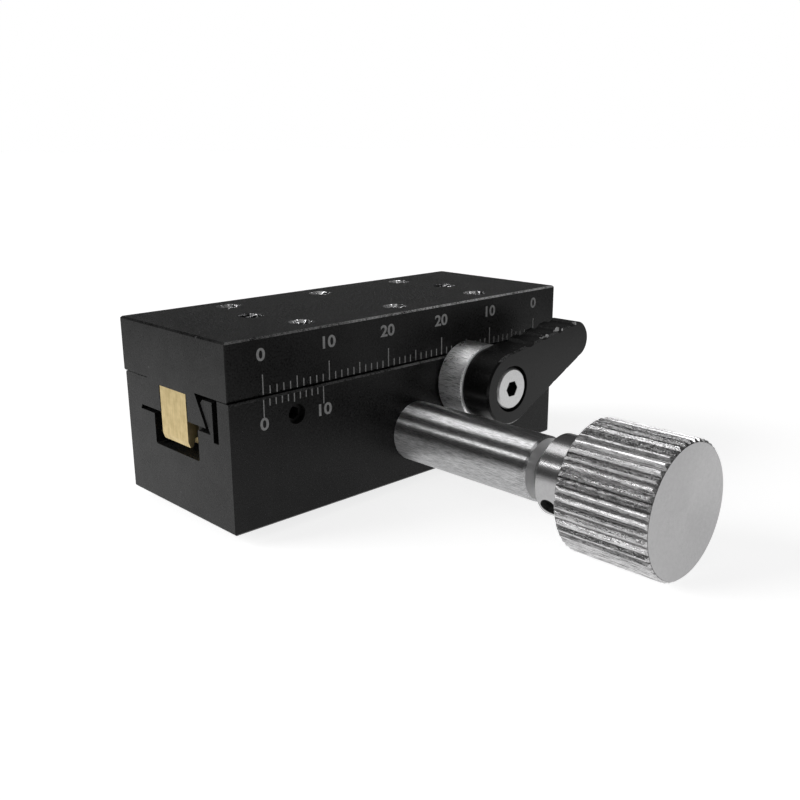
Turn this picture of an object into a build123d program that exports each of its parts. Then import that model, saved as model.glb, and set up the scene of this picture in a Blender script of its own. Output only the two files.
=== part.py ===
from build123d import *
from math import acos, atan2, cos, degrees, floor, pi, radians, sin, sqrt, tan
import os

# A small rack-and-pinion dovetail stage. Millimetres. The origin is the centre of the base's
# underside. X is the direction of travel, -Y the front with the scale, the clamp and the knob,
# and +Z up. At rest the table stands in mid-travel.

# ---- block -------------------------------------------------------------------------------
stage_length = 60.0
stage_width = 24.0
base_end_step = 0.2              # the base is this much shorter than the table at each end
base_height = 16.15
slide_gap = 0.2                  # daylight between base and table
table_thickness = 7.05
edge_break = 0.25
split_break = 0.25               # the same along the split, front and back
corner_break = 0.12              # and down the block's four corners

# ---- dovetail slide ----------------------------------------------------------------------
dovetail_angle = 62.0            # flank to the horizontal
shoulder_front = 6.95            # from the front face to the front flank, at the table's underside
shoulder_back = 6.0              # and from the back face to the back flank
dovetail_depth = 3.95            # how far the table's dovetail reaches down
floor_gap = 0.7                  # under the table's dovetail
flank_fit = 0.04                 # running fit on the fixed flank, square to it
finger_fit = 0.25                # the same on the flexure finger, before the gib screws are set
finger_drop = 0.4                # the finger's top lies this much under the base's top
finger_corner = 0.5              # corner cut off between its top and its flank
front_wall = 2.5                 # left in front of the slit that frees the finger
slit_width = 1.1
slit_depth = 5.3                 # from the base's top

# ---- rack and pinion ---------------------------------------------------------------------
gear_module = 0.5
pinion_teeth = 11
pressure_angle = 20.0
dedendum_factor = 1.25
backlash = 0.06
root_relief = 2.2                # degrees taken off each tooth's foot, clear of the rack's tips
drive_z = 6.7                    # height of the drive shaft
rack_width = 6.0
rack_top_drop = 0.55             # its top lies this much under the table's underside
rack_slot_fit = 0.18
rack_space_x = -0.49             # the tooth space that stands over the pinion at rest
pinion_face = 6.6
pinion_hub_radius = 2.3
pinion_hub_length = 1.8
pinion_pin_radius = 0.4
end_play = 0.1

# ---- channel for the rack and bore for the drive -------------------------------------------
channel_front = 5.0
channel_back = 5.2
channel_clearance = 1.25         # under the rack's tips
channel_corner = 0.3
drive_bore_radius = 3.6
shaft_radius = 1.5
shaft_fit = 0.03                 # shaft in bushes
pressed_fit = 0.01               # parts of one body that are pressed or screwed together
bush_radius = 2.1
rear_wall = 2.5                  # left behind the rear bush
shaft_end_gap = 0.3

# ---- sleeve tube, knob and what lies between them ------------------------------------------
tube_radius = 4.1
tube_length = 22.2               # from the front face
tube_inner_radius = 1.8
inner_bush_length = 4.0
front_bush_length = 5.0
washer_radius = 2.1
washer_thickness = 0.5
knob_boss_radius = 2.1           # behind the hub, against the thrust washer
knob_boss_length = 1.6
knob_hub_radius = 5.0
knob_hub_length = 5.0
hub_break = 0.3
knob_radius = 8.0
knob_length = 11.8
knob_chamfer = 0.34              # runs out just below the grooves' floors
knob_web = 3.5                   # solid metal left at the knob's face
knurl_count = 50
knurl_depth = 0.32
knurl_root = 0.14                # width of a groove's floor
knurl_angle = 90.0
knurl_overcut = 0.1              # the cutter reaches this far past the knob's surface
knob_screw_angle = 212.5         # seen from the front, from +X towards +Z
knob_screw_from_end = 1.9
knob_screw_recess = 1.3

# ---- threads, drawn at their core: (core radius, hex across flats) --------------------------
m2_core, m2_hex = 0.8, 1.3
m3_core, m3_hex = 1.25, 1.5
m4_core = 1.65
thread_fit = 0.03
sink_depth = 0.4                 # countersink at the mouth of a tapped hole
screw_recess = 0.3
set_screw_cup = 0.02             # air between a set screw's tip and what it is set against

# ---- holes ---------------------------------------------------------------------------------
table_hole_pitch_x = 16.0
table_hole_pitch_y = 16.0
table_hole_depth = 5.5
rack_screw_x = 18.0
rack_screw_head_radius = 1.5
rack_screw_head_height = 1.6
rack_screw_head_fit = 0.15
rack_screw_clear = 1.1
rack_screw_seat_depth = 4.4      # from the table's top
rack_screw_bite = 3.6
base_hole_x = 20.0
base_hole_radius = 1.7
base_hole_head_radius = 3.25
base_hole_head_depth = 3.3
gib_screw_x = 20.2
gib_screw_drop = 2.95            # from the base's top
gib_screw_recess = 0.8
sleeve_screw_from_front = 2.2

# ---- travel stops ---------------------------------------------------------------------------
travel_each_way = 25.0
sleeve_reach = 1.6               # the sleeve's inner end stands this far into the channel
stop_pin_radius = 0.6
stop_pin_clearance = 1.3         # over the channel's floor
stop_pin_bite = 3.0
stop_fit = 0.05

# ---- clamp ------------------------------------------------------------------------------------
clamp_x = 9.5
clamp_drop = 3.71                # from the base's top
clamp_ring_radius = 5.4
clamp_ring_length = 4.4
clamp_ring_gap = 0.1
clamp_ring_break = 0.2
clamp_pad_radius = 1.35
clamp_pad_thickness = 0.5
clamp_pad_gap = 0.05
spigot_hex = 5.5
spigot_length = 2.2
spigot_fit = 0.05
lever_hub_radius = 5.0
lever_tip_radius = 2.7
lever_tip_x = 14.4
lever_tip_z = 4.6
lever_thickness = 4.5
lever_screw_head_radius = 2.88
lever_screw_head_height = 1.3
lever_screw_head_fit = 0.3
lever_screw_hex = 2.0
lever_screw_clear = 0.25         # round its shank, in the lever's web
lever_screw_sunk = 0.05          # its head lies this much below the lever's face
lever_screw_bite = 4.5
lever_break = 0.25               # round its front face
grip_pitch = 3.25
grip_start = 4.65                # first scallop, from the hub's axis along the lever's upper edge
grip_count = 4
grip_scallop_radius = 1.4
grip_depth = 0.4
grip_depth_below = 0.3

# ---- what follows from them --------------------------------------------------------------------
front_y = -stage_width / 2
neck_front = stage_width / 2 - shoulder_front
neck_back = stage_width / 2 - shoulder_back
table_under_z = base_height + slide_gap
table_top_z = table_under_z + table_thickness
dovetail_bottom_z = table_under_z - dovetail_depth
slot_floor_z = dovetail_bottom_z - floor_gap
flank_slope = 1 / tan(radians(dovetail_angle))
finger_top_z = base_height - finger_drop
finger_corner_z = finger_top_z - finger_corner
slit_floor_z = base_height - slit_depth
gib_screw_z = base_height - gib_screw_drop
clamp_z = base_height - clamp_drop
base_length = stage_length - 2 * base_end_step
pitch_radius = gear_module * pinion_teeth / 2
gear_pitch = pi * gear_module
rack_pitch_z = drive_z + pitch_radius
rack_tip_z = rack_pitch_z - gear_module
rack_top_z = table_under_z - rack_top_drop
rack_screw_seat_z = table_top_z - rack_screw_seat_depth
channel_floor_z = rack_tip_z - channel_clearance
stop_pin_tip_z = channel_floor_z + stop_pin_clearance
rear_bush_length = stage_width / 2 - rear_wall - channel_back
pinion_back_y = channel_back - end_play
pinion_teeth_back_y = pinion_back_y - pinion_hub_length
sleeve_inner_y = -channel_front + sleeve_reach
tube_end_y = front_y - tube_length
knob_back_y = tube_end_y - washer_thickness
hub_back_y = knob_back_y - knob_boss_length
knurl_back_y = hub_back_y - knob_hub_length
knob_front_y = knurl_back_y - knob_length
shaft_front_y = knob_front_y + knob_web + shaft_end_gap
clamp_ring_y = front_y - clamp_ring_gap
spigot_y = clamp_ring_y - clamp_ring_length
lever_front_y = spigot_y - lever_thickness
lever_screw_seat_y = lever_front_y + lever_screw_head_height + lever_screw_sunk
slit_y = front_y + front_wall
sleeve_screw_y = front_y + sleeve_screw_from_front
finger_slit_y = slit_y + slit_width

os.makedirs("parts", exist_ok=True)


def facing_front(x, y, z):
    """A plane square to Y, seen from the front: X to the right, Z up, extrusions to the front."""
    return Plane(origin=(x, y, z), x_dir=(1, 0, 0), z_dir=(0, -1, 0))


def finish(builder, name):
    """Label a finished piece and write it."""
    builder.part.label = name
    export_step(builder.part, f"parts/{name}.step")


def flank_shift(z):
    """How far a dovetail flank has moved outwards at height z."""
    return (table_under_z - z) * flank_slope


def across(fit):
    """A fit square to a flank, measured along Y."""
    return fit / sin(radians(dovetail_angle))


def side_edges(builder, direction, z_low, z_high):
    """The edges along a direction on a block's front and back faces, between two heights."""
    found = []
    for edge in builder.edges().filter_by(direction):
        middle = edge.center()
        if abs(middle.Y) > stage_width / 2 - slide_gap and z_low <= middle.Z <= z_high:
            found.append(edge)
    return found


# ---- base: block, dovetail slot, rack channel and the slit behind the front wall -----------------
fixed_flank_y = neck_back + across(flank_fit)
finger_flank_y = -neck_front - across(finger_fit)

with BuildPart() as base:
    with BuildSketch(Plane.YZ):
        with Locations((0, base_height / 2)):
            Rectangle(stage_width, base_height)
        with BuildLine():
            Polyline(
                (fixed_flank_y + flank_shift(base_height), base_height),
                (fixed_flank_y + flank_shift(slot_floor_z), slot_floor_z),
                (finger_flank_y - flank_shift(slot_floor_z), slot_floor_z),
                (finger_flank_y - flank_shift(finger_corner_z), finger_corner_z),
                (finger_flank_y - flank_shift(finger_corner_z) - finger_corner, finger_top_z),
                (finger_slit_y, finger_top_z),
                (finger_slit_y, slit_floor_z),
                (slit_y, slit_floor_z),
                (slit_y, base_height),
                close=True,
            )
        make_face(mode=Mode.SUBTRACT)
    extrude(amount=base_length / 2, both=True)
    chamfer(base.faces().sort_by(Axis.Z)[0].edges(), edge_break)
    chamfer(side_edges(base, Axis.X, base_height - slide_gap, table_under_z), split_break)
    chamfer(side_edges(base, Axis.Z, 0, base_height), corner_break)
    # The channel under the slot, with round lower corners.
    with BuildSketch(Plane.YZ) as channel:
        with Locations(((channel_back - channel_front) / 2, slot_floor_z)):
            Rectangle(channel_back + channel_front, 2 * (slot_floor_z - channel_floor_z))
        fillet(channel.vertices().group_by(Axis.Y)[0], channel_corner)
    extrude(amount=base_length / 2, both=True, mode=Mode.SUBTRACT)
    # Drive bore from the front face to the channel's back wall, then the rear bush's seat.
    with BuildSketch(facing_front(0, channel_back, drive_z)):
        Circle(drive_bore_radius)
    extrude(amount=channel_back - front_y, mode=Mode.SUBTRACT)
    with BuildSketch(facing_front(0, channel_back + rear_bush_length, drive_z)):
        Circle(bush_radius + pressed_fit)
    extrude(amount=rear_bush_length, mode=Mode.SUBTRACT)
    # Gib screws and the clamp screw go through the front wall into the slit.
    with BuildSketch(facing_front(0, finger_slit_y, 0)):
        with Locations((-gib_screw_x, gib_screw_z), (gib_screw_x, gib_screw_z)):
            Circle(m3_core)
        with Locations((clamp_x, clamp_z)):
            Circle(m4_core)
    extrude(amount=stage_width / 2, mode=Mode.SUBTRACT)
    # The sleeve's set screw comes up from below.
    with BuildSketch(Plane.XY):
        with Locations((0, sleeve_screw_y)):
            Circle(m3_core)
    extrude(amount=drive_z - drive_bore_radius / 2, mode=Mode.SUBTRACT)
    # Two counterbored holes in the channel's floor take the screws that hold the stage down.
    with Locations((-base_hole_x, 0, channel_floor_z), (base_hole_x, 0, channel_floor_z)):
        CounterBoreHole(base_hole_radius, base_hole_head_radius, base_hole_head_depth)
finish(base, "base")

# ---- table: plate with the dovetail below it -----------------------------------------------------
stop_pin_x = travel_each_way + stop_pin_radius + stop_fit + sqrt(
    drive_bore_radius**2 - (drive_z - stop_pin_tip_z) ** 2
)
stop_pin_y = -(channel_front + rack_width / 2) / 2

with BuildPart() as table:
    with BuildSketch(Plane.YZ):
        with Locations((0, table_under_z + table_thickness / 2)):
            Rectangle(stage_width, table_thickness)
        with BuildLine():
            Polyline(
                (-neck_front, table_under_z),
                (neck_back, table_under_z),
                (neck_back + flank_shift(dovetail_bottom_z), dovetail_bottom_z),
                (-neck_front - flank_shift(dovetail_bottom_z), dovetail_bottom_z),
                close=True,
            )
        make_face()
    extrude(amount=stage_length / 2, both=True)
    chamfer(table.faces().sort_by(Axis.Z)[-1].edges(), edge_break)
    chamfer(side_edges(table, Axis.X, base_height, table_under_z + slide_gap), split_break)
    chamfer(side_edges(table, Axis.Z, base_height, table_top_z), corner_break)
    with BuildSketch(Plane.YZ):
        with Locations((0, rack_top_z)):
            Rectangle(rack_width + 2 * rack_slot_fit, 2 * (rack_top_z - dovetail_bottom_z),
                      align=(Align.CENTER, Align.MAX))
    extrude(amount=stage_length / 2, both=True, mode=Mode.SUBTRACT)
    # Six tapped holes for what the stage carries.
    with Locations(Plane.XY.offset(table_top_z)):
        with GridLocations(table_hole_pitch_x, table_hole_pitch_y, 3, 2):
            CounterSinkHole(m3_core, m3_core + sink_depth, table_hole_depth, 90)
        with Locations((-rack_screw_x, 0), (rack_screw_x, 0)):
            CounterBoreHole(
                rack_screw_clear,
                rack_screw_head_radius + rack_screw_head_fit,
                table_top_z - rack_screw_seat_z,
                table_top_z - rack_top_z,
            )
    # Seats of the two stop pins in the dovetail's underside.
    with BuildSketch(Plane.XY.offset(dovetail_bottom_z)):
        with Locations((-stop_pin_x, stop_pin_y), (stop_pin_x, stop_pin_y)):
            Circle(stop_pin_radius + pressed_fit)
    extrude(amount=stop_pin_bite, mode=Mode.SUBTRACT)
finish(table, "table")

# ---- rack ----------------------------------------------------------------------------------------
rack_space_half = gear_pitch / 4 + backlash / 2
flank_lean = tan(radians(pressure_angle))
spaces_each_way = floor(stage_length / 2 / gear_pitch)

with BuildPart() as rack:
    with BuildSketch(facing_front(0, rack_width / 2, 0)):
        with Locations((0, (rack_top_z + rack_tip_z) / 2)):
            Rectangle(stage_length, rack_top_z - rack_tip_z)
        for step in range(-spaces_each_way, spaces_each_way + 1):
            space_x = rack_space_x + step * gear_pitch
            with BuildLine(Plane.XY.shift_origin((space_x, rack_pitch_z))):
                Polyline(
                    (-rack_space_half - gear_module * flank_lean, -gear_module),
                    (rack_space_half + gear_module * flank_lean, -gear_module),
                    (rack_space_half - dedendum_factor * gear_module * flank_lean,
                     dedendum_factor * gear_module),
                    (-rack_space_half + dedendum_factor * gear_module * flank_lean,
                     dedendum_factor * gear_module),
                    close=True,
                )
            make_face(mode=Mode.SUBTRACT)
    extrude(amount=rack_width)
    with BuildSketch(Plane.XY.offset(rack_top_z)):
        with Locations((-rack_screw_x, 0), (rack_screw_x, 0)):
            Circle(m2_core)
    extrude(amount=-rack_screw_bite - screw_recess, mode=Mode.SUBTRACT)
finish(rack, "rack")

# ---- pinion: involute teeth, with a hub behind them for its cross pin ----------------------------
base_radius = pitch_radius * cos(radians(pressure_angle))
tip_radius = pitch_radius + gear_module
root_radius = pitch_radius - dedendum_factor * gear_module


def involute_angle(radius):
    """Angle in degrees that the involute has turned through at a radius."""
    pressure = acos(min(1.0, base_radius / radius))
    return degrees(tan(pressure) - pressure)


def tooth_half_angle(radius):
    """Half of a tooth's thickness at a radius, in degrees."""
    at_pitch = degrees((gear_pitch / 2 - backlash) / pitch_radius / 2)
    return at_pitch + involute_angle(pitch_radius) - involute_angle(radius)


def on_tooth(radius, side, less=0.0):
    """A point on a tooth's flank; the tooth points along +Y of its sketch."""
    turn = radians(90 - side * (tooth_half_angle(radius) - less))
    return (radius * cos(turn), radius * sin(turn))


pinion_turn = -degrees(rack_space_x / pitch_radius)  # its top tooth stands in that space
flank_radii = [base_radius + (tip_radius - base_radius) * step / 3 for step in range(4)]
foot_radius = root_radius - 0.1

with BuildSketch() as tooth:
    with BuildLine():
        for side in (-1, 1):
            Line(on_tooth(foot_radius, side, root_relief), on_tooth(base_radius, side))
            Spline([on_tooth(radius, side) for radius in flank_radii])
        ThreePointArc(on_tooth(tip_radius, -1), (0, tip_radius), on_tooth(tip_radius, 1))
        Line(on_tooth(foot_radius, -1, root_relief), on_tooth(foot_radius, 1, root_relief))
    make_face()

with BuildPart() as pinion:
    with BuildSketch(facing_front(0, pinion_teeth_back_y, drive_z)):
        Circle(root_radius)
        with PolarLocations(0, pinion_teeth, start_angle=pinion_turn):
            add(tooth.sketch)
        Circle(shaft_radius + pressed_fit, mode=Mode.SUBTRACT)
    extrude(amount=pinion_face)
    with BuildSketch(facing_front(0, pinion_back_y, drive_z)):
        Circle(pinion_hub_radius)
        Circle(shaft_radius + pressed_fit, mode=Mode.SUBTRACT)
    extrude(amount=pinion_hub_length)
    with BuildSketch(Plane.XY.offset(drive_z)):
        with Locations((0, pinion_back_y - pinion_hub_length / 2)):
            Circle(pinion_pin_radius + pressed_fit)
    extrude(amount=pinion_hub_radius, both=True, mode=Mode.SUBTRACT)
finish(pinion, "pinion")

with BuildPart() as pinion_pin:
    with BuildSketch(Plane.XY.offset(drive_z)):
        with Locations((0, pinion_back_y - pinion_hub_length / 2)):
            Circle(pinion_pin_radius)
    extrude(amount=pinion_hub_radius - pressed_fit, both=True)
finish(pinion_pin, "pinion_pin")

# ---- drive shaft ---------------------------------------------------------------------------------
shaft_back_y = channel_back + rear_bush_length - shaft_end_gap

with BuildPart() as drive_shaft:
    with BuildSketch(facing_front(0, shaft_back_y, drive_z)):
        Circle(shaft_radius)
    extrude(amount=shaft_back_y - shaft_front_y)
    with BuildSketch(Plane.XY.offset(drive_z)):
        with Locations((0, pinion_back_y - pinion_hub_length / 2)):
            Circle(pinion_pin_radius + pressed_fit)
    extrude(amount=shaft_radius * 2, both=True, mode=Mode.SUBTRACT)
finish(drive_shaft, "drive_shaft")


# ---- bushes --------------------------------------------------------------------------------------
def bush(back_y, length):
    """A bush that runs forward from back_y."""
    with BuildPart() as body:
        with BuildSketch(facing_front(0, back_y, drive_z)):
            Circle(bush_radius)
            Circle(shaft_radius + shaft_fit, mode=Mode.SUBTRACT)
        extrude(amount=length)
    return body


finish(bush(channel_back + rear_bush_length, rear_bush_length), "rear_bush")
finish(bush(sleeve_inner_y, inner_bush_length), "inner_bush")
finish(bush(tube_end_y + front_bush_length, front_bush_length), "front_bush")

# ---- sleeve tube: a shoulder on the front face and a spigot through the wall ---------------------
with BuildPart() as sleeve_tube:
    with BuildSketch(facing_front(0, sleeve_inner_y, drive_z)):
        Circle(drive_bore_radius - pressed_fit)
    extrude(amount=sleeve_inner_y - front_y)
    with BuildSketch(facing_front(0, front_y, drive_z)):
        Circle(tube_radius)
    extrude(amount=tube_length)
    tube_rim = sleeve_tube.faces().sort_by(Axis.Y)[0].edges()
    chamfer(tube_rim, edge_break)
    with BuildSketch(facing_front(0, sleeve_inner_y, drive_z)):
        Circle(tube_inner_radius)
    extrude(amount=sleeve_inner_y - tube_end_y, mode=Mode.SUBTRACT)
    with BuildSketch(facing_front(0, sleeve_inner_y, drive_z)):
        Circle(bush_radius + pressed_fit)
    extrude(amount=inner_bush_length, mode=Mode.SUBTRACT)
    with BuildSketch(facing_front(0, tube_end_y + front_bush_length, drive_z)):
        Circle(bush_radius + pressed_fit)
    extrude(amount=front_bush_length, mode=Mode.SUBTRACT)
finish(sleeve_tube, "sleeve_tube")


# ---- set screws ----------------------------------------------------------------------------------
def set_screw(plane, length):
    """A set screw whose hex socket opens at the plane and whose tip is length further on."""
    with BuildPart() as screw:
        with BuildSketch(plane):
            Circle(m3_core - thread_fit)
        extrude(amount=length)
        with BuildSketch(plane):
            RegularPolygon(m3_hex / 2, 6, major_radius=False)
        extrude(amount=length / 2, mode=Mode.SUBTRACT)
    return screw.part


sleeve_screw_length = drive_z - drive_bore_radius - screw_recess - set_screw_cup
with BuildPart() as sleeve_set_screw:
    add(set_screw(Plane((0, sleeve_screw_y, screw_recess)), sleeve_screw_length))
finish(sleeve_set_screw, "sleeve_set_screw")

gib_screw_length = finger_slit_y - front_y - gib_screw_recess - set_screw_cup
with BuildPart() as gib_screws:
    for x in (-gib_screw_x, gib_screw_x):
        mouth = Plane((x, front_y + gib_screw_recess, gib_screw_z), z_dir=(0, 1, 0))
        add(set_screw(mouth, gib_screw_length))
finish(gib_screws, "gib_screws")

# ---- thrust washer between sleeve and knob -------------------------------------------------------
with BuildPart() as thrust_washer:
    with BuildSketch(facing_front(0, tube_end_y - set_screw_cup, drive_z)):
        Circle(washer_radius)
        Circle(shaft_radius + shaft_fit, mode=Mode.SUBTRACT)
    extrude(amount=washer_thickness - set_screw_cup)
finish(thrust_washer, "thrust_washer")

# ---- knob: hub and knurled grip in one piece -----------------------------------------------------
groove_floor_radius = knob_radius - knurl_depth
groove_mouth_radius = knob_radius + knurl_overcut
groove_mouth_half = knurl_root / 2 + (knurl_depth + knurl_overcut) * tan(radians(knurl_angle / 2))
knob_screw_y = hub_back_y - knob_screw_from_end
knob_screw_direction = (cos(radians(knob_screw_angle)), 0, sin(radians(knob_screw_angle)))


def knob_screw_plane(radius):
    """The knob's set screw seen from outside, at a radius from the shaft's axis."""
    origin = (radius * knob_screw_direction[0], knob_screw_y,
              drive_z + radius * knob_screw_direction[2])
    return Plane(origin=origin, x_dir=(0, 1, 0), z_dir=[-part for part in knob_screw_direction])


with BuildSketch() as knurl_groove:
    with BuildLine():
        Polyline(
            (groove_floor_radius, knurl_root / 2),
            (groove_mouth_radius, groove_mouth_half),
            (groove_mouth_radius, -groove_mouth_half),
            (groove_floor_radius, -knurl_root / 2),
            close=True,
        )
    make_face()

with BuildPart() as knob:
    with BuildSketch(Plane.YZ):
        with BuildLine():
            Polyline(
                (knob_back_y, drive_z),
                (knob_back_y, drive_z + knob_boss_radius),
                (hub_back_y, drive_z + knob_boss_radius),
                (hub_back_y, drive_z + knob_hub_radius - hub_break),
                (hub_back_y - hub_break, drive_z + knob_hub_radius),
                (knurl_back_y, drive_z + knob_hub_radius),
                (knurl_back_y, drive_z + knob_radius - knob_chamfer),
                (knurl_back_y - knob_chamfer, drive_z + knob_radius),
                (knob_front_y + knob_chamfer, drive_z + knob_radius),
                (knob_front_y, drive_z + knob_radius - knob_chamfer),
                (knob_front_y, drive_z),
                close=True,
            )
        make_face()
    revolve(axis=Axis((0, 0, drive_z), (0, 1, 0)))
    with BuildSketch(facing_front(0, knurl_back_y, drive_z)):
        with PolarLocations(0, knurl_count):
            add(knurl_groove.sketch)
    extrude(amount=knob_length, mode=Mode.SUBTRACT)
    with BuildSketch(facing_front(0, knob_back_y, drive_z)):
        Circle(shaft_radius + pressed_fit)
    extrude(amount=knob_back_y - knob_front_y - knob_web, mode=Mode.SUBTRACT)
    with BuildSketch(knob_screw_plane(knob_hub_radius)):
        Circle(m3_core)
    extrude(amount=knob_hub_radius - shaft_radius / 2, mode=Mode.SUBTRACT)
finish(knob, "knob")

knob_screw_length = knob_hub_radius - knob_screw_recess - shaft_radius - set_screw_cup
with BuildPart() as knob_set_screw:
    add(set_screw(knob_screw_plane(knob_hub_radius - knob_screw_recess), knob_screw_length))
finish(knob_set_screw, "knob_set_screw")

# ---- rack screws and stop pins -------------------------------------------------------------------
with BuildPart() as rack_screws:
    for x in (-rack_screw_x, rack_screw_x):
        with BuildSketch(Plane((x, 0, rack_top_z - rack_screw_bite))):
            Circle(m2_core - thread_fit)
        extrude(amount=rack_screw_seat_z - rack_top_z + rack_screw_bite)
        with BuildSketch(Plane((x, 0, rack_screw_seat_z))):
            Circle(rack_screw_head_radius)
        extrude(amount=rack_screw_head_height)
        with BuildSketch(Plane((x, 0, rack_screw_seat_z + rack_screw_head_height))):
            RegularPolygon(m2_hex / 2, 6, major_radius=False)
        extrude(amount=-rack_screw_head_height / 2, mode=Mode.SUBTRACT)
finish(rack_screws, "rack_screws")

with BuildPart() as stop_pins:
    with BuildSketch(Plane.XY.offset(stop_pin_tip_z)):
        with Locations((-stop_pin_x, stop_pin_y), (stop_pin_x, stop_pin_y)):
            Circle(stop_pin_radius)
    extrude(amount=dovetail_bottom_z + stop_pin_bite - stop_pin_tip_z)
finish(stop_pins, "stop_pins")

# ---- clamp: screw with its broad ring, pad, lever and the lever's screw --------------------------
clamp_tip_y = finger_slit_y - clamp_pad_gap - clamp_pad_thickness

with BuildPart() as clamp_screw:
    with BuildSketch(facing_front(clamp_x, clamp_tip_y, clamp_z)):
        Circle(m4_core - thread_fit)
    extrude(amount=clamp_tip_y - clamp_ring_y)
    with BuildSketch(facing_front(clamp_x, clamp_ring_y, clamp_z)):
        Circle(clamp_ring_radius)
    extrude(amount=clamp_ring_length)
    ring_edges = clamp_screw.edges().filter_by(GeomType.CIRCLE).sort_by(SortBy.RADIUS)[-2:]
    chamfer(ring_edges, clamp_ring_break)
    with BuildSketch(facing_front(clamp_x, spigot_y, clamp_z)):
        RegularPolygon(spigot_hex / 2, 6, major_radius=False)
    extrude(amount=spigot_length)
    with BuildSketch(facing_front(clamp_x, spigot_y - spigot_length, clamp_z)):
        Circle(m3_core)
    extrude(amount=-lever_screw_bite, mode=Mode.SUBTRACT)
finish(clamp_screw, "clamp_screw")

with BuildPart() as clamp_pad:
    with BuildSketch(facing_front(clamp_x, finger_slit_y - clamp_pad_gap, clamp_z)):
        Circle(clamp_pad_radius)
    extrude(amount=clamp_pad_thickness)
finish(clamp_pad, "clamp_pad")

tip_distance = sqrt(lever_tip_x**2 + lever_tip_z**2)
tip_direction = degrees(atan2(lever_tip_z, lever_tip_x))
half_taper = degrees(acos((lever_hub_radius - lever_tip_radius) / tip_distance))
upper_edge = tip_direction + half_taper
lower_edge = tip_direction - half_taper


def scallop_centre(edge_normal, distance, depth):
    """Centre of a scallop's circle beside the lever's upper or lower edge."""
    along = edge_normal - 90 if edge_normal > tip_direction else edge_normal + 90
    out = lever_hub_radius - depth + grip_scallop_radius
    return (
        out * cos(radians(edge_normal)) + distance * cos(radians(along)),
        out * sin(radians(edge_normal)) + distance * sin(radians(along)),
    )


with BuildPart() as clamp_lever:
    with BuildSketch(facing_front(clamp_x, spigot_y, clamp_z)):
        Circle(lever_hub_radius)
        with Locations((lever_tip_x, lever_tip_z)):
            Circle(lever_tip_radius)
        make_hull()
    extrude(amount=lever_thickness)
    chamfer(clamp_lever.faces().sort_by(Axis.Y)[0].edges(), lever_break)
    with BuildSketch(facing_front(clamp_x, spigot_y, clamp_z)):
        for step in range(grip_count):
            distance = grip_start + step * grip_pitch
            with Locations(scallop_centre(upper_edge, distance, grip_depth),
                           scallop_centre(lower_edge, distance, grip_depth_below)):
                Circle(grip_scallop_radius)
    extrude(amount=lever_thickness, mode=Mode.SUBTRACT)
    with BuildSketch(facing_front(clamp_x, spigot_y, clamp_z)):
        RegularPolygon(spigot_hex / 2 + spigot_fit, 6, major_radius=False)
    extrude(amount=spigot_length + spigot_fit, mode=Mode.SUBTRACT)
    with BuildSketch(facing_front(clamp_x, lever_screw_seat_y, clamp_z)):
        Circle(lever_screw_head_radius + lever_screw_head_fit)
    extrude(amount=lever_thickness, mode=Mode.SUBTRACT)
    with BuildSketch(facing_front(clamp_x, spigot_y, clamp_z)):
        Circle(m3_core + lever_screw_clear)
    extrude(amount=lever_thickness, mode=Mode.SUBTRACT)
finish(clamp_lever, "clamp_lever")

lever_screw_shank = spigot_y - spigot_length - lever_screw_seat_y + lever_screw_bite - screw_recess

with BuildPart() as lever_screw:
    with BuildSketch(facing_front(clamp_x, lever_screw_seat_y, clamp_z)):
        Circle(lever_screw_head_radius)
    extrude(amount=lever_screw_head_height)
    chamfer(lever_screw.faces().sort_by(Axis.Y)[0].edges(), edge_break)
    with BuildSketch(facing_front(clamp_x, lever_screw_seat_y, clamp_z)):
        Circle(m3_core - thread_fit)
    extrude(amount=-lever_screw_shank)
    with BuildSketch(facing_front(clamp_x, lever_front_y, clamp_z)):
        RegularPolygon(lever_screw_hex / 2, 6, major_radius=False)
    extrude(amount=-lever_screw_head_height, mode=Mode.SUBTRACT)
finish(lever_screw, "lever_screw")
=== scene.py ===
import math

import bpy
from mathutils import Matrix, Vector


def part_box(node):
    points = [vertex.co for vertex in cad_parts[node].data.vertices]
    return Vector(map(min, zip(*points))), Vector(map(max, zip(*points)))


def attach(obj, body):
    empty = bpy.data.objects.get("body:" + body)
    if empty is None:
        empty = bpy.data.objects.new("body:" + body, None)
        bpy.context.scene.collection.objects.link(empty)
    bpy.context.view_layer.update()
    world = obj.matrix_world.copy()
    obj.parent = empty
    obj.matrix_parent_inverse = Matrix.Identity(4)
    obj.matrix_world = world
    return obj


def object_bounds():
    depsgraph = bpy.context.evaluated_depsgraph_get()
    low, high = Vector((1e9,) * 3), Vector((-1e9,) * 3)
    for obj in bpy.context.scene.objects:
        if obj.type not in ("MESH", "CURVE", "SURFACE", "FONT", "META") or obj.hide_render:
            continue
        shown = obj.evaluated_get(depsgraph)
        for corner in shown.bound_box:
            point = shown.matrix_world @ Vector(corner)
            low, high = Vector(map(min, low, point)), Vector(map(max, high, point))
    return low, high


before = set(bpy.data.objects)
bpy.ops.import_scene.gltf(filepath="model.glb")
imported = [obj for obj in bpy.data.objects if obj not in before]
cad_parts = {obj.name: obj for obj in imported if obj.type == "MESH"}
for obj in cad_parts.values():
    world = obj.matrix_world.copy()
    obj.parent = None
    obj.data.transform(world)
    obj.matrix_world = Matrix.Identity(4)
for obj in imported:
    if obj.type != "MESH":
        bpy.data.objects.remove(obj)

MM = 0.001
X, Y, Z = 0, 1, 2
CAD_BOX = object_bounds()

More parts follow.
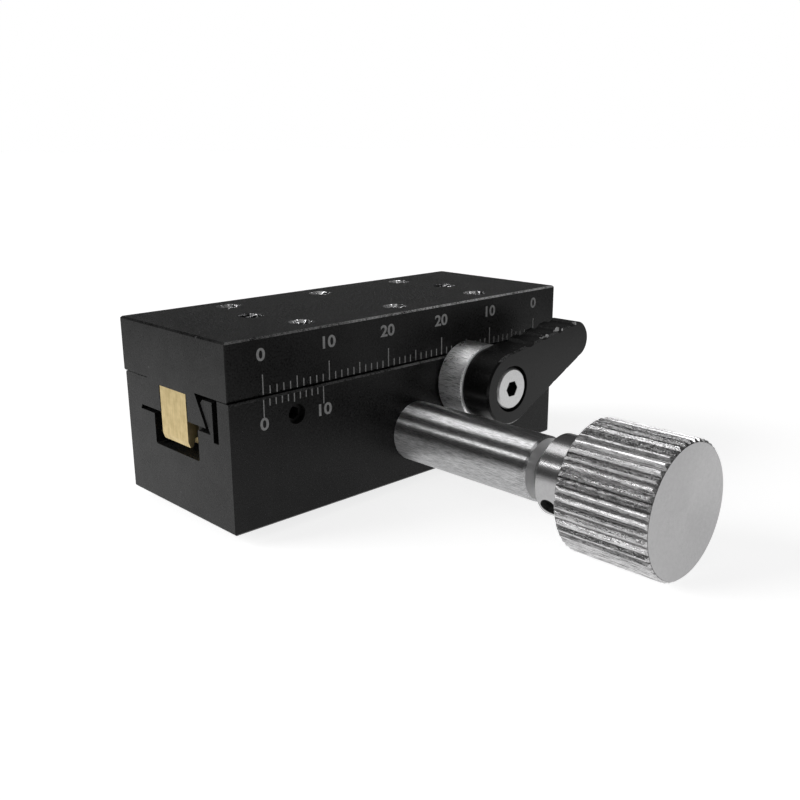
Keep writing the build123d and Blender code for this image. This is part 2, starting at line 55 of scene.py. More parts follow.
# ---- scale, verniers and numerals, in millimetres ------------------------------------------------
SCALE_LENGTH = 50                # one division is a millimetre
TICK_WIDTH = 0.14
TICK_PROUD = 0.012               # thickness of the paint that fills a line
LONG_EVERY, MIDDLE_EVERY = 10, 5
SCALE_TICKS = (2.43, 1.45, 0.95)     # lengths of the long, middle and short lines
SCALE_FOOT = 0.36                # from the base's upper edge to the foot of the table's scale
VERNIER_DIVISIONS = 10
VERNIER_STEP = 0.9
VERNIER_TICKS = (2.2, 1.1, 0.85)
VERNIER_HEAD = 0.26              # from the base's upper edge to the vernier's head
NUMERAL_HEIGHT = 1.55
NUMERAL_WIDTH = 1.2              # against the font's own
NUMERAL_BOLD = 0.05
FIGURE_SHARE = 0.72              # a figure's height as a share of the font's size
NUMERAL_GAP = 1.62               # between a long tick and its numeral on the table
NUMERAL_SHIFT = -0.12            # of the table's numerals along the scale
VERNIER_NUMERAL_GAP = -0.02
TABLE_NUMERALS = ((0, "0"), (10, "10"), (20, "20"), (30, "20"), (40, "10"), (50, "0"))

# ---- places that the materials follow, in millimetres --------------------------------------------
HOLE_PITCH = 16                  # the table's six tapped holes
HOLE_MOUTH_RADIUS = 1.7
HOLE_DEPTH = 6
HOLE_SKIN = 0.02
HOLE_RIM = 0.6                   # the rack screws' bores beyond their heads
SOCKET_RADIUS = 1.17             # round the lever screw's hexagon socket
SOCKET_SKIN = 0.1
DRIVE_Z = 6.7                    # height of the knob's axis
KNURL_ROOT_RADIUS = 7.55
GROOVE_SHADE_BAND = (7.66, 7.75)       # radii between which the painted shade fades out of the knurl's grooves
GRIP_START = 5.0                 # from the clamp's axis to the first scallop
CREST_GLINT_REACH = 1.4                # how far back from the lever's face the painted glints on its grip reach
EDGE_RUB_AND_HIGHLIGHT_BAND = (-26, 8)             # along the front edges, from least to most edge lightening: partly rubbed bare metal, partly a painted highlight that fades to the left

# ---- parts of a true normal that tell a face's side ----------------------------------------------
EDGE_UP = (0.6, 0.9)             # a broken edge looks up by this much
EDGE_FRONT = -0.4
CREST_LEFT, CREST_UP = -0.25, 0.3
END_FRONT = -0.9                 # the front end of a turned piece

# ---- how a pattern is stretched along x, y and z; more is finer ----------------------------------
THREAD_STRETCH = (0.8, 0.8, 2)
RING_STRETCH = (0.03, 7, 0.03)   # turned lines round a Y axis
RUB_STRETCH = (6, 0.5, 6)        # rubs along it
DENT_STRETCH = (2.4, 0.7, 2.4)
STREAK_STRETCH = (10, 0.3, 10)
SAW_STRETCH = (0.1, 5, 0.2)

# ---- where a pattern gives the first and the second of two tones ---------------------------------
BLACK_PLACES = (0.4, 0.62)
EDGE_RUB_AND_HIGHLIGHT_PLACES = (0.38, 0.58)
THREAD_PLACES = (0.46, 0.56)
CREST_GLINT_PLACES = (0.5, 0.6)
RUB_PLACES = (0.38, 0.6)
KNURL_PLACES = (0.42, 0.56)
HEAD_PLACES = (0.35, 0.6)
NEAR_PLACES = (0.35, 0.65)
WIDE_PLACES = (0.3, 0.7)

# ---- tones and levels of the surfaces ------------------------------------------------------------
BARE_METAL = (0.95, 0.95, 0.96)
BARE_ROUGHNESS = 0.22
THREAD_DEPTH = 12.0              # bump of a tapped hole's threads against that of the grain
DUST = 0.05
SPECK_RADIUS = 0.22              # against a cell of the pattern
LEAST_EDGE_RUB_AND_HIGHLIGHT = 0.3                # share of the painted edge lightening, rubbed metal and highlight, at the low end of EDGE_RUB_AND_HIGHLIGHT_BAND
# tone of the painted glints on the lever's grip
CREST_GLINT_TONE = 0.3
# colour of a turned piece's front cut end, painted light to lift the shade it lies in
CUT_END_PAINTED_LIGHT = (0.92, 0.92, 0.92)
END_DULLNESS = 0.7               # how much a turned piece's cut end loses of its metallic look
GLOSSIER, DULLER = -0.03, 0.04   # how a turned piece's roughness varies
# painted shade at the bottom of the knurl's grooves
GROOVE_SHADE_TONE = (0.1, 0.098, 0.098)
KNURL_LEVELS = (0.36, 1.3)       # dents and ridges against the knob's colour
HUB_LEVELS = (0.74, 0.86)        # the same for the hub and the end face
KNOB_ROUGHNESS = (0.18, 0.36)
EVEN = 0.5                       # the middle of a pattern
BRASS_TONES = ((0.55, 0.42, 0.19), (0.86, 0.70, 0.38))
BRASS_ROUGHNESS = (0.34, 0.5)
HEAD_LEVELS = (0.86, 1.0)
HEAD_ROUGHNESS = (0.3, 0.42)
# painted shade inside the lever screw's hexagon socket
SOCKET_SHADE_TONE = 0.01
PAINT_LEVELS = (0.75, 1.2)
QUARTER_TURN = 0.25              # turns a highlight from round a Y axis to along it

# ---- studio --------------------------------------------------------------------------------------
FLOOR_SIZE = 8.0                 # in metres
FLOOR_WHITE = 0.5
FLOOR_ROUGHNESS = 0.7
CAMERA_GLOW = 0.8                # what the camera sees on top of the lit floor
POOL_GLOW, POOL_RIM = 0.72, 0.03     # what reflections see of the floor, near and far
POOL_BAND = (70, 190)            # how far that pool of light reaches, in millimetres
HORIZON_BAND = (0.01, 0.06)      # sine of the elevation where the white horizon fades
CEILING_LEVEL = 0.085
AMBIENT_LEVEL = 0.22
KEY_SOURCE, KEY_LEVEL, KEY_ANGLE = (-0.72, 0.6, 0.35), 0.9, 40
PANEL_DISTANCE = 0.5             # in metres, as the panels' sizes are
PANELS = (                       # name, place in x and z, size across and along Y, radiance
    ("band_above", (-0.085, 0.976), (0.24, 0.2), 6.0),
    ("line_left", (-0.774, 0.6), (0.03, 0.25), 16.0),
)
PANEL_STANDS = (("back", 0.25, 0.75), ("front", -0.2, 0.6))  # place in y, share of radiance

# ---- camera, fitted to the block's corners in the photograph's 800 x 800 frame -------------------
PHOTO_SIDE = 800
FOCAL_PIXELS = 931.2
SENSOR_WIDTH = 36                # in millimetres
CLIP_NEAR, CLIP_FAR = 0.005, 20  # in metres
CAMERA_PLACE = Vector((-85.818, -98.758, 44.976)) * MM
CAMERA_AZIMUTH = 43.68
CAMERA_DROP = 15.567
CAMERA_ROLL = -0.295

# ---- places measured on the CAD pieces: in metres for shapes, in millimetres for materials -------
table_low, table_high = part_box("table")
base_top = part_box("base")[1][Z]
front_y = table_low[Y]
scale_left = (table_low[X] + table_high[X]) / 2 - SCALE_LENGTH / 2 * MM
scale_right = scale_left + SCALE_LENGTH * MM
scale_foot = base_top + SCALE_FOOT * MM

table_top = table_high[Z] / MM
head_low, head_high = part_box("lever_screw")
head_front = head_low[Y] / MM
clamp_x = (head_low[X] + head_high[X]) / 2 / MM
clamp_z = (head_low[Z] + head_high[Z]) / 2 / MM
lever_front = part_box("clamp_lever")[0][Y] / MM
screw_low, screw_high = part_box("rack_screws")
screw_radius = (screw_high[Y] - screw_low[Y]) / 2 / MM
screw_x = screw_high[X] / MM - screw_radius
screw_y = (screw_high[Y] + screw_low[Y]) / 2 / MM


# ---- shader helpers ------------------------------------------------------------------------------
def new_material(name):
    """A node material with its tree and its Principled shader."""
    material = bpy.data.materials.new(name)
    material.use_nodes = True
    return material, material.node_tree, material.node_tree.nodes["Principled BSDF"]


def add_node(tree, kind, **settings):
    """A node with its properties, and with its sockets set by name."""
    node = tree.nodes.new(kind)
    for key, value in settings.items():
        if hasattr(node, key):
            setattr(node, key, value)
        else:
            node.inputs[key.replace("_", " ")].default_value = value
    return node


def opaque(tone):
    """A grey level or a colour as a colour with alpha."""
    return (*tone, 1) if isinstance(tone, tuple) else (tone, tone, tone, 1)


def shades(colour, levels):
    """A colour at several levels."""
    return [tuple(part * level for part in colour) for level in levels]


def ramp(tree, source, places, tones):
    """A blend of two tones; places are where the source gives the first and the second."""
    node = tree.nodes.new("ShaderNodeValToRGB")
    for element, place, tone in zip(node.color_ramp.elements, places, tones):
        element.position = place
        element.color = opaque(tone)
    tree.links.new(source, node.inputs["Fac"])
    return node.outputs["Color"]


def object_coordinates(tree, stretch=(1, 1, 1)):
    """Object coordinates in millimetres, stretched along each axis."""
    place = tree.nodes.new("ShaderNodeTexCoord")
    mapping = tree.nodes.new("ShaderNodeMapping")
    mapping.inputs["Scale"].default_value = [part / MM for part in stretch]
    tree.links.new(place.outputs["Object"], mapping.inputs["Vector"])
    return mapping.outputs["Vector"]


def place_parts(tree):
    """The object coordinates x, y and z in millimetres."""
    parts = tree.nodes.new("ShaderNodeSeparateXYZ")
    tree.links.new(object_coordinates(tree), parts.inputs[0])
    return parts.outputs[X], parts.outputs[Y], parts.outputs[Z]


def noise(tree, vector, scale, detail=4.0, roughness=0.55):
    """A noise field over a vector in millimetres."""
    node = add_node(tree, "ShaderNodeTexNoise", Scale=scale, Detail=detail, Roughness=roughness)
    tree.links.new(vector, node.inputs["Vector"])
    return node.outputs["Fac"]


def bump(tree, height, strength, distance, before=None):
    """A bump from a height field; distance is in millimetres."""
    node = add_node(tree, "ShaderNodeBump", Strength=strength, Distance=distance * MM)
    tree.links.new(height, node.inputs["Height"])
    if before is not None:
        tree.links.new(before, node.inputs["Normal"])
    return node.outputs["Normal"]


def mixed(tree, factor, low, high, kind="RGBA"):
    """Low where the factor is 0 and high where it is 1; each is a socket or a level."""
    node = add_node(tree, "ShaderNodeMix", data_type=kind)
    pins = [pin for pin in node.inputs if pin.enabled]
    for pin, value in zip(pins, (factor, low, high)):
        if isinstance(value, bpy.types.NodeSocket):
            tree.links.new(value, pin)
        elif kind == "RGBA" and pin is not pins[0]:
            pin.default_value = opaque(value)
        else:
            pin.default_value = value
    return next(pin for pin in node.outputs if pin.enabled)


def blended(tree, first, second, share):
    """Two fields in one; share is the second's."""
    return mixed(tree, share, first, second, "FLOAT")


def calculated(tree, operation, *values, clamp=False):
    """One Math node over sockets and numbers."""
    node = add_node(tree, "ShaderNodeMath", operation=operation, use_clamp=clamp)
    for pin, value in zip(node.inputs, values):
        if isinstance(value, bpy.types.NodeSocket):
            tree.links.new(value, pin)
        else:
            pin.default_value = value
    return node.outputs[0]


def product(tree, first, *others):
    """The product of sockets and numbers."""
    for other in others:
        first = calculated(tree, "MULTIPLY", first, other)
    return first


def band(tree, source, low, high):
    """0 below low, 1 above high and a smooth step between them."""
    node = add_node(tree, "ShaderNodeMapRange", interpolation_type="SMOOTHSTEP")
    tree.links.new(source, node.inputs["Value"])
    node.inputs["From Min"].default_value = low
    node.inputs["From Max"].default_value = high
    return node.outputs["Result"]


def distance_from(tree, first, first_centre, second, second_centre):
    """How far a point is from a line, from its two coordinates square to that line."""
    across = calculated(tree, "SUBTRACT", first, first_centre)
    beside = calculated(tree, "SUBTRACT", second, second_centre)
    squares = [product(tree, part, part) for part in (across, beside)]
    return calculated(tree, "SQRT", calculated(tree, "ADD", *squares))


# ---- masks ---------------------------------------------------------------------------------------
def facing(tree, axis, limit, towards=True):
    """1 where the true normal's part along an axis is above a limit, or below it."""
    geometry = tree.nodes.new("ShaderNodeNewGeometry")
    parts = tree.nodes.new("ShaderNodeSeparateXYZ")
    tree.links.new(geometry.outputs["True Normal"], parts.inputs[0])
    kind = "GREATER_THAN" if towards else "LESS_THAN"
    return calculated(tree, kind, parts.outputs[axis], limit)


def rubbed_and_highlit_edge_mask(tree):
    """1 on the broken edges that look up and to the front, which hands rub and where a highlight is
    painted.
    """
    least, most = EDGE_UP
    return product(tree, facing(tree, Z, least), facing(tree, Z, most, False),
                   facing(tree, Y, EDGE_FRONT, False))


def specks(tree, vector, scale, share):
    """Sparse small spots: 1 inside a spot; share is how many cells carry one."""
    cells = add_node(tree, "ShaderNodeTexVoronoi", Scale=scale)
    tree.links.new(vector, cells.inputs["Vector"])
    chosen = calculated(tree, "LESS_THAN", cells.outputs["Color"], share)
    near = calculated(tree, "LESS_THAN", cells.outputs["Distance"], SPECK_RADIUS)
    return product(tree, chosen, near)


def hole_wall_mask(tree):
    """1 on the walls of the table's six tapped holes and of the rack screws' two bores."""
    x, y, z = place_parts(tree)
    nearest = calculated(tree, "ROUND", calculated(tree, "DIVIDE", x, HOLE_PITCH))
    column = product(tree, nearest, HOLE_PITCH)
    tap_radius = distance_from(tree, x, column, calculated(tree, "ABSOLUTE", y), HOLE_PITCH / 2)
    bore_radius = distance_from(tree, calculated(tree, "ABSOLUTE", x), screw_x, y, screw_y)
    tapped = calculated(tree, "LESS_THAN", tap_radius, HOLE_MOUTH_RADIUS)
    bored = calculated(tree, "LESS_THAN", bore_radius, screw_radius + HOLE_RIM)
    inside = calculated(tree, "ADD", tapped, bored, clamp=True)
    below = calculated(tree, "LESS_THAN", z, table_top - HOLE_SKIN)
    above = calculated(tree, "GREATER_THAN", z, table_top - HOLE_DEPTH)
    return product(tree, inside, below, above)


def crest_glint_mask(tree, place):
    """1 in small spots near the front, on the side of the grip's crests that looks left, where
    glints are painted.
    """
    x, y, _ = place_parts(tree)
    left = product(tree, facing(tree, X, CREST_LEFT, False), facing(tree, Z, CREST_UP))
    grip = product(tree, calculated(tree, "GREATER_THAN", x, clamp_x + GRIP_START),
                   calculated(tree, "LESS_THAN", y, lever_front + CREST_GLINT_REACH))
    spots = noise(tree, place, scale=1.4, detail=3.0, roughness=0.6)
    return product(tree, left, grip, band(tree, spots, *CREST_GLINT_PLACES))


# ---- materials -----------------------------------------------------------------------------------
def anodised(name, dark, light, rough, spread, sheen, grain, edge_rub_and_highlight, holes=False, crests=False):
    """Blasted and anodised aluminium: fine grain, faint clouds, dust, edges painted light as rubbed
    bare metal and as a painted highlight, and on the lever painted glints on its grip's crests.
    """
    material, tree, shader = new_material(name)
    place = object_coordinates(tree)
    clouds = noise(tree, place, scale=0.25, detail=3.0)
    grains = noise(tree, place, scale=3.5, detail=5.0, roughness=0.8)
    pattern = blended(tree, clouds, grains, share=0.75)
    tone = ramp(tree, pattern, BLACK_PLACES, (dark, light))
    tone = mixed(tree, specks(tree, place, scale=1.3, share=0.06), tone, DUST)

    # Edges that look up and to the front are painted lighter, more so towards +x: partly rubbed
    # bare metal, partly a painted highlight.
    fine = noise(tree, place, scale=5.0, detail=3.0, roughness=0.8)
    patches = band(tree, blended(tree, fine, clouds, share=0.3), *EDGE_RUB_AND_HIGHLIGHT_PLACES)
    along = band(tree, place_parts(tree)[X], *EDGE_RUB_AND_HIGHLIGHT_BAND)
    edge_rub_and_highlight_share = mixed(tree, along, LEAST_EDGE_RUB_AND_HIGHLIGHT, 1.0, "FLOAT")
    tone = mixed(tree, product(tree, rubbed_and_highlit_edge_mask(tree), patches, edge_rub_and_highlight_share), tone, edge_rub_and_highlight)
    # On the lever, painted glints on the left-looking side of the grip's crests.
    if crests:
        tone = mixed(tree, crest_glint_mask(tree, place), tone, CREST_GLINT_TONE)

    roughness = ramp(tree, grains, NEAR_PLACES, (rough - spread, rough + spread))
    height = grains
    if holes:
        threads = noise(tree, object_coordinates(tree, THREAD_STRETCH), scale=2.2, detail=2.0)
        bare = product(tree, hole_wall_mask(tree), band(tree, threads, *THREAD_PLACES))
        tone = mixed(tree, bare, tone, BARE_METAL)
        roughness = mixed(tree, bare, roughness, BARE_ROUGHNESS)
        height = mixed(tree, bare, grains, product(tree, threads, THREAD_DEPTH), "FLOAT")
        tree.links.new(bare, shader.inputs["Metallic"])
    tree.links.new(tone, shader.inputs["Base Color"])
    tree.links.new(roughness, shader.inputs["Roughness"])
    tree.links.new(bump(tree, height, grain, distance=0.015), shader.inputs["Normal"])
    shader.inputs["Specular IOR Level"].default_value = sheen
    return material


def spread_along_axis(tree, shader, streak):
    """Turned lines round a Y axis spread each reflection along that axis."""
    tangent = add_node(tree, "ShaderNodeTangent", direction_type="RADIAL", axis="Y")
    tree.links.new(tangent.outputs["Tangent"], shader.inputs["Tangent"])
    shader.inputs["Anisotropic"].default_value = streak
    shader.inputs["Anisotropic Rotation"].default_value = QUARTER_TURN


def turned(name, colour, rough, streak=0.95, lines=0.2, scratches=0.12, depth=1.0,
           metal=1.0, rubbed=(0.55, 1.15)):
    """Metal turned round a Y axis: lines round it, rubs along it, clouds, and a dull front cut end
    whose colour is painted light to lift its shade.
    """
    material, tree, shader = new_material(name)
    rings = noise(tree, object_coordinates(tree, RING_STRETCH),
                  scale=2.0, detail=6.0, roughness=0.75)
    rubs = noise(tree, object_coordinates(tree, RUB_STRETCH),
                 scale=1.5, detail=5.0, roughness=0.75)
    clouds = noise(tree, object_coordinates(tree), scale=0.6, detail=4.0)
    end = facing(tree, Y, END_FRONT, False)
    side_tone = ramp(tree, rubs, RUB_PLACES, shades(colour, rubbed))
    # The front cut end's colour is painted light to lift the shade it lies in.
    tree.links.new(mixed(tree, end, side_tone, CUT_END_PAINTED_LIGHT), shader.inputs["Base Color"])
    tree.links.new(ramp(tree, clouds, WIDE_PLACES, (rough + GLOSSIER, rough + DULLER)),
                   shader.inputs["Roughness"])
    first = bump(tree, rings, lines, distance=0.004 * depth)
    tree.links.new(bump(tree, rubs, scratches, distance=0.01 * depth, before=first),
                   shader.inputs["Normal"])
    tree.links.new(calculated(tree, "SUBTRACT", metal, product(tree, end, END_DULLNESS)),
                   shader.inputs["Metallic"])
    spread_along_axis(tree, shader, streak)
    return material


def knurled(name, colour):
    """The knob: dented ridges, grooves painted dark as shade, a turned hub and a satin end face."""
    material, tree, shader = new_material(name)
    x, _, z = place_parts(tree)
    radius = distance_from(tree, x, 0.0, z, DRIVE_Z)
    ridges = calculated(tree, "GREATER_THAN", radius, KNURL_ROOT_RADIUS)
    not_end = calculated(tree, "SUBTRACT", 1.0, facing(tree, Y, END_FRONT, False))
    side = product(tree, ridges, not_end)
    dents = noise(tree, object_coordinates(tree, DENT_STRETCH),
                  scale=1.3, detail=4.0, roughness=0.7)
    streaks = noise(tree, object_coordinates(tree, STREAK_STRETCH),
                    scale=1.4, detail=4.0, roughness=0.8)
    grains = noise(tree, object_coordinates(tree), scale=2.5, detail=5.0, roughness=0.8)

    smooth_tone = ramp(tree, grains, WIDE_PLACES, shades(colour, HUB_LEVELS))
    ridge_tone = ramp(tree, blended(tree, dents, streaks, share=0.7), KNURL_PLACES,
                      shades(colour, KNURL_LEVELS))
    # The bottoms of the knurl's grooves are painted dark as shade.
    knurl_tone = mixed(tree, band(tree, radius, *GROOVE_SHADE_BAND), GROOVE_SHADE_TONE, ridge_tone)
    tree.links.new(mixed(tree, side, smooth_tone, knurl_tone), shader.inputs["Base Color"])
    dented = mixed(tree, side, EVEN, dents, "FLOAT")
    tree.links.new(ramp(tree, dented, NEAR_PLACES, KNOB_ROUGHNESS), shader.inputs["Roughness"])
    side_height = product(tree, side, blended(tree, dents, streaks, share=0.4))
    first = bump(tree, side_height, strength=0.4, distance=0.06)
    tree.links.new(bump(tree, grains, strength=0.25, distance=0.008, before=first),
                   shader.inputs["Normal"])
    shader.inputs["Metallic"].default_value = 1.0
    spread_along_axis(tree, shader, streak=0.7)
    return material


def milled_brass(name):
    """Sawn and milled brass: faint parallel lines and a warm, uneven tone."""
    material, tree, shader = new_material(name)
    lines = noise(tree, object_coordinates(tree, SAW_STRETCH),
                  scale=1.2, detail=5.0, roughness=0.7)
    clouds = noise(tree, object_coordinates(tree), scale=0.7, detail=4.0)
    pattern = blended(tree, lines, clouds, share=0.5)
    tree.links.new(ramp(tree, pattern, NEAR_PLACES, BRASS_TONES), shader.inputs["Base Color"])
    tree.links.new(ramp(tree, lines, WIDE_PLACES, BRASS_ROUGHNESS), shader.inputs["Roughness"])
    tree.links.new(bump(tree, lines, strength=0.25, distance=0.01), shader.inputs["Normal"])
    shader.inputs["Metallic"].default_value = 1.0
    return material


def socket_screw(name, colour):
    """A bright screw whose hexagon socket, on the clamp's axis, is painted black inside as shade.
    """
    material, tree, shader = new_material(name)
    x, y, z = place_parts(tree)
    near = calculated(tree, "LESS_THAN", distance_from(tree, x, clamp_x, z, clamp_z),
                      SOCKET_RADIUS)
    deep = calculated(tree, "GREATER_THAN", y, head_front + SOCKET_SKIN)
    socket = product(tree, near, deep)
    grains = noise(tree, object_coordinates(tree), scale=5.0, detail=4.0, roughness=0.65)
    tone = ramp(tree, grains, HEAD_PLACES, shades(colour, HEAD_LEVELS))
    # The socket's inside is painted near black and made non-metallic, as shade.
    tree.links.new(mixed(tree, socket, tone, SOCKET_SHADE_TONE), shader.inputs["Base Color"])
    tree.links.new(ramp(tree, grains, WIDE_PLACES, HEAD_ROUGHNESS), shader.inputs["Roughness"])
    tree.links.new(bump(tree, grains, strength=0.2, distance=0.01), shader.inputs["Normal"])
    tree.links.new(calculated(tree, "SUBTRACT", 1.0, socket), shader.inputs["Metallic"])
    return material


def dull(name, dark, light, rough, spread=0.06, sheen=0.25):
    """A dull, fine-grained skin, such as black oxide on a screw or the washer's grey."""
    material, tree, shader = new_material(name)
    grains = noise(tree, object_coordinates(tree), scale=4.0, detail=4.0, roughness=0.6)
    tree.links.new(ramp(tree, grains, NEAR_PLACES, (dark, light)), shader.inputs["Base Color"])
    tree.links.new(ramp(tree, grains, WIDE_PLACES, (rough - spread, rough + spread)),
                   shader.inputs["Roughness"])
    tree.links.new(bump(tree, grains, strength=0.15, distance=0.01), shader.inputs["Normal"])
    shader.inputs["Specular IOR Level"].default_value = sheen
    return material


def paint(name, level, rough):
    """The dull filling of the engraved lines."""
    material, tree, shader = new_material(name)
    grains = noise(tree, object_coordinates(tree), scale=7.0, detail=3.0)
    tones = [level * share for share in PAINT_LEVELS]
    tree.links.new(ramp(tree, grains, WIDE_PLACES, tones), shader.inputs["Base Color"])
    shader.inputs["Roughness"].default_value = rough
    return material


block_black = dict(dark=0.001, light=0.022, rough=0.33, spread=0.14, sheen=0.19, grain=1.2)
# The edge level in these calls is a painted edge highlight, partly also rubbed bare metal; on the
# lever it is only a painted highlight along its rim.
black = anodised("black_anodised", **block_black, edge_rub_and_highlight=1.0, holes=True)
base_black = anodised("base_anodised", **block_black, edge_rub_and_highlight=0.35)
lever_black = anodised("lever_black", dark=0.005, light=0.01, rough=0.24, spread=0.04,
                       sheen=0.26, grain=0.15, edge_rub_and_highlight=0.15, crests=True)
steel = turned("turned_steel", (0.54, 0.54, 0.545), rough=0.345, scratches=0.25)
ring_steel = turned("ring_steel", (0.82, 0.82, 0.825), rough=0.3, streak=0.9, lines=1.0,
                    scratches=1.0, depth=4.0, metal=0.95, rubbed=(0.45, 1.5))
washer_grey = dull("washer_grey", dark=0.34, light=0.48, rough=0.5)
knob_steel = knurled("knob_steel", (0.57, 0.565, 0.57))
head_steel = socket_screw("screw_head_steel", (0.70, 0.70, 0.70))
bronze = turned("bush_bronze", (0.60, 0.42, 0.22), rough=0.3)
screw_oxide = dull("screw_oxide", dark=0.006, light=0.018, rough=0.35)
brass = milled_brass("rack_brass")
marking = paint("scale_paint", level=0.5, rough=0.6)

NODE_MATERIALS = {
    "base": base_black, "table": black, "clamp_lever": lever_black, "rack": brass,
    "sleeve_tube": steel, "knob": knob_steel, "drive_shaft": steel, "clamp_screw": ring_steel,
    "lever_screw": head_steel, "thrust_washer": washer_grey, "front_bush": steel,
    "pinion": bronze, "inner_bush": bronze, "rear_bush": bronze, "clamp_pad": bronze,
}
for node_name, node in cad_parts.items():
    node_material = NODE_MATERIALS.get(node_name, screw_oxide)
    if not node.material_slots:
        node.data.materials.append(node_material)
    for slot in node.material_slots:
        slot.material = node_material


# ---- scale and verniers --------------------------------------------------------------------------
def add_object(name, data):
    """An object in the scene."""
    thing = bpy.data.objects.new(name, data)
    bpy.context.scene.collection.objects.link(thing)
    return thing


def bar(verts, faces, x, z_low, z_high):
    """Adds a thin upright bar of paint to a mesh under construction."""
    start = len(verts)
    half = TICK_WIDTH * MM / 2
    for y in (front_y, front_y - TICK_PROUD * MM):
        for side, z in ((-1, z_low), (1, z_low), (1, z_high), (-1, z_high)):
            verts.append((x + side * half, y, z))
    for quad in ((4, 5, 6, 7), (0, 1, 5, 4), (1, 2, 6, 5), (2, 3, 7, 6), (3, 0, 4, 7)):
        faces.append([start + corner for corner in quad])


def tick_row(name, body, zero_x, pitch, divisions, edge_z, rise, lengths):
    """A row of lines that rise from an edge, or hang from it where rise is -1."""
    long, middle, short = lengths
    verts, faces = [], []
    for step in range(divisions + 1):
        length = middle if step % MIDDLE_EVERY == 0 else short
        if step % LONG_EVERY == 0:
            length = long
        low, high = sorted((edge_z, edge_z + rise * length * MM))
        bar(verts, faces, zero_x + step * pitch * MM, low, high)
    mesh = bpy.data.meshes.new(name)
    mesh.from_pydata(verts, [], faces)
    mesh.materials.append(marking)
    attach(add_object(name, mesh), body)


def numeral(name, text, x, z_middle, body):
    """A numeral as a thin plate of paint, upright on the front face."""
    curve = bpy.data.curves.new(name, "FONT")
    curve.body = text
    curve.size = NUMERAL_HEIGHT * MM / FIGURE_SHARE
    curve.align_x = "CENTER"
    curve.extrude = TICK_PROUD * MM / 2
    curve.offset = NUMERAL_BOLD * MM
    drawn = add_object(name + "_text", curve)
    bpy.context.view_layer.update()
    mesh = bpy.data.meshes.new_from_object(drawn)
    bpy.data.objects.remove(drawn)
    mesh.name = name
    low = min(vertex.co.y for vertex in mesh.vertices)
    high = max(vertex.co.y for vertex in mesh.vertices)
    stretch = NUMERAL_HEIGHT * MM / (high - low)
    upright = Matrix.Rotation(math.radians(90), 4, "X")
    place = Matrix.Translation((x, front_y - TICK_PROUD * MM / 2, z_middle))
    centre = Matrix.Translation((0, -(low + high) / 2, 0))
    size = Matrix.Diagonal((stretch * NUMERAL_WIDTH, stretch, 1, 1))
    mesh.transform(place @ upright @ size @ centre)
    mesh.materials.clear()
    mesh.materials.append(marking)
    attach(add_object(name, mesh), body)


tick_row("table_scale", "table_body", scale_left, 1, SCALE_LENGTH, scale_foot, 1, SCALE_TICKS)
table_numeral_z = scale_foot + (SCALE_TICKS[0] + NUMERAL_GAP + NUMERAL_HEIGHT / 2) * MM
for mm, label in TABLE_NUMERALS:
    numeral(f"table_numeral_{mm}", label, scale_left + (mm + NUMERAL_SHIFT) * MM,
            table_numeral_z, "table_body")

vernier_head = base_top - VERNIER_HEAD * MM
vernier_numeral_z = base_top - (
    VERNIER_HEAD + VERNIER_TICKS[0] + VERNIER_NUMERAL_GAP + NUMERAL_HEIGHT / 2) * MM
for side, zero_x, direction in (("left", scale_left, 1), ("right", scale_right, -1)):
    tick_row(f"vernier_{side}", "base_body", zero_x, direction * VERNIER_STEP,
             VERNIER_DIVISIONS, vernier_head, -1, VERNIER_TICKS)
    ten_x = zero_x + direction * VERNIER_DIVISIONS * VERNIER_STEP * MM
    numeral(f"vernier_{side}_0", "0", zero_x, vernier_numeral_z, "base_body")
    numeral(f"vernier_{side}_10", "10", ten_x, vernier_numeral_z, "base_body")


# ---- floor, world and lamps ----------------------------------------------------------------------
def stage_floor(name, height, material):
    """A level square of floor under the object."""
    half = FLOOR_SIZE / 2
    mesh = bpy.data.meshes.new(name)
    mesh.from_pydata([(-half, -half, 0), (half, -half, 0), (half, half, 0), (-half, half, 0)],
                     [], [(0, 1, 2, 3)])
    mesh.materials.append(material)
    plane = add_object(name, mesh)
    plane.location = (0, 0, height)


def sun(name, source, level, angle):
    """A soft, far lamp; level 1 renders a colour that faces it as it is written."""
    data = bpy.data.lights.new(name, "SUN")
    data.energy = level * math.pi
    data.angle = math.radians(angle)
    lamp = add_object(name, data)
    lamp.rotation_euler = Vector(source).to_track_quat("Z", "Y").to_euler()
    lamp.visible_glossy = False


def panel(name, source, size, radiance):
    """A soft panel whose reflection shows in the metal; its second side lies along Y."""
    back = Vector(source).normalized()
    along = (Vector((0, 1, 0)) - back * back.y).normalized()
    data = bpy.data.lights.new(name, "AREA")
    data.shape = "RECTANGLE"
    data.size, data.size_y = size
    data.energy = radiance * math.pi * size[0] * size[1]
    lamp = add_object(name, data)
    turn = Matrix((along.cross(back), along, back)).transposed().to_4x4()
    lamp.matrix_world = Matrix.Translation(back * PANEL_DISTANCE) @ turn
    lamp.visible_diffuse = False


def mirror_ray(tree):
    """1 where a reflection or a refraction looks."""
    path = tree.nodes.new("ShaderNodeLightPath")
    return calculated(tree, "ADD", path.outputs["Is Glossy Ray"],
                      path.outputs["Is Transmission Ray"], clamp=True)


def white_floor(name):
    """A white floor, white to the camera; reflections show it brightest near the object."""
    material, tree, shader = new_material(name)
    shader.inputs["Base Color"].default_value = opaque(FLOOR_WHITE)
    shader.inputs["Roughness"].default_value = FLOOR_ROUGHNESS
    shader.inputs["Emission Color"].default_value = opaque(1)
    path = tree.nodes.new("ShaderNodeLightPath")
    x, y, _ = place_parts(tree)
    away = band(tree, distance_from(tree, x, 0.0, y, 0.0), *POOL_BAND)
    pool = product(tree, mixed(tree, away, POOL_GLOW, POOL_RIM, "FLOAT"), mirror_ray(tree))
    shown = product(tree, path.outputs["Is Camera Ray"], CAMERA_GLOW)
    tree.links.new(calculated(tree, "ADD", pool, shown), shader.inputs["Emission Strength"])
    return material


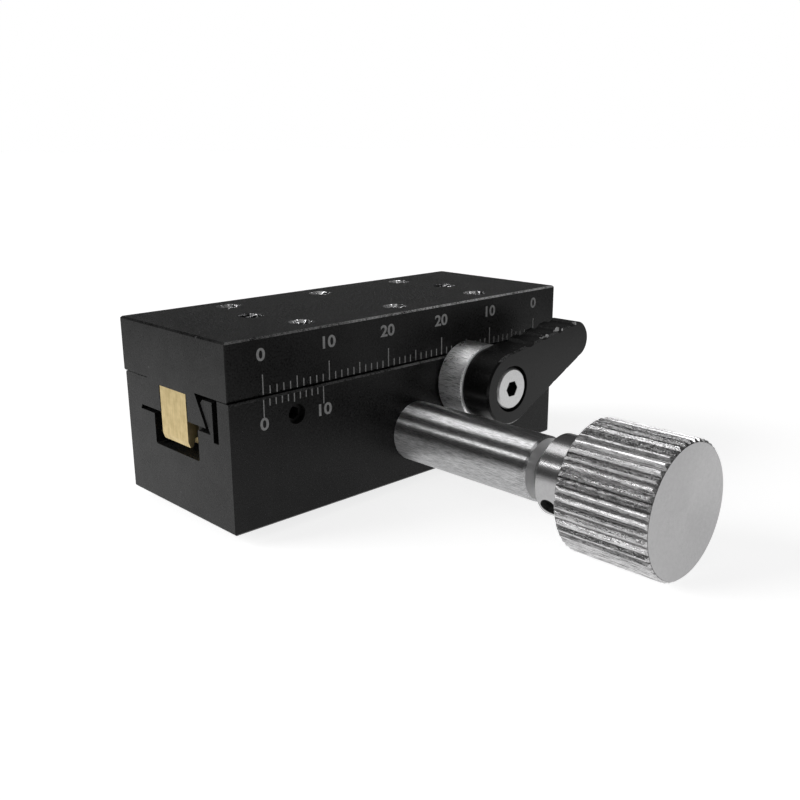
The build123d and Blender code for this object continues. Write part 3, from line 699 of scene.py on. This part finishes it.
def studio_world():
    """White to the camera, a white horizon under a grey ceiling in reflections, soft otherwise."""
    world = bpy.data.worlds.new("studio")
    bpy.context.scene.world = world
    world.use_nodes = True
    tree = world.node_tree
    path = tree.nodes.new("ShaderNodeLightPath")
    place = tree.nodes.new("ShaderNodeTexCoord")
    parts = tree.nodes.new("ShaderNodeSeparateXYZ")
    tree.links.new(place.outputs["Generated"], parts.inputs[0])
    ceiling = band(tree, parts.outputs[Z], *HORIZON_BAND)
    shown = mixed(tree, ceiling, 1.0, CEILING_LEVEL, "FLOAT")
    level = mixed(tree, mirror_ray(tree), AMBIENT_LEVEL, shown, "FLOAT")
    level = mixed(tree, path.outputs["Is Camera Ray"], level, 1.0, "FLOAT")
    tree.links.new(level, tree.nodes["Background"].inputs["Strength"])
    tree.nodes["Background"].inputs["Color"].default_value = opaque(1)


stage_floor("floor", CAD_BOX[0][Z], white_floor("floor_white"))
studio_world()
sun("key_left", KEY_SOURCE, KEY_LEVEL, KEY_ANGLE)
for stand, lean, share in PANEL_STANDS:
    for panel_name, (beside, above), panel_size, radiance in PANELS:
        panel(f"{panel_name}_{stand}", (beside, lean, above), panel_size, radiance * share)

# ---- camera and picture --------------------------------------------------------------------------
azimuth, drop, roll = (math.radians(a) for a in (CAMERA_AZIMUTH, CAMERA_DROP, CAMERA_ROLL))
forward = Vector((math.sin(azimuth) * math.cos(drop), math.cos(azimuth) * math.cos(drop),
                  -math.sin(drop)))
right = Vector((math.cos(azimuth), -math.sin(azimuth), 0))
up = right.cross(forward)
camera_x = right * math.cos(roll) + up * math.sin(roll)
camera_y = up * math.cos(roll) - right * math.sin(roll)
camera_data = bpy.data.cameras.new("camera")
camera_data.sensor_width = SENSOR_WIDTH
camera_data.lens = FOCAL_PIXELS / PHOTO_SIDE * SENSOR_WIDTH
camera_data.clip_start = CLIP_NEAR
camera_data.clip_end = CLIP_FAR
camera = add_object("camera", camera_data)
camera_turn = Matrix((camera_x, camera_y, -forward)).transposed().to_4x4()
camera.matrix_world = Matrix.Translation(CAMERA_PLACE) @ camera_turn
bpy.context.scene.camera = camera
bpy.context.scene.view_settings.view_transform = "Standard"
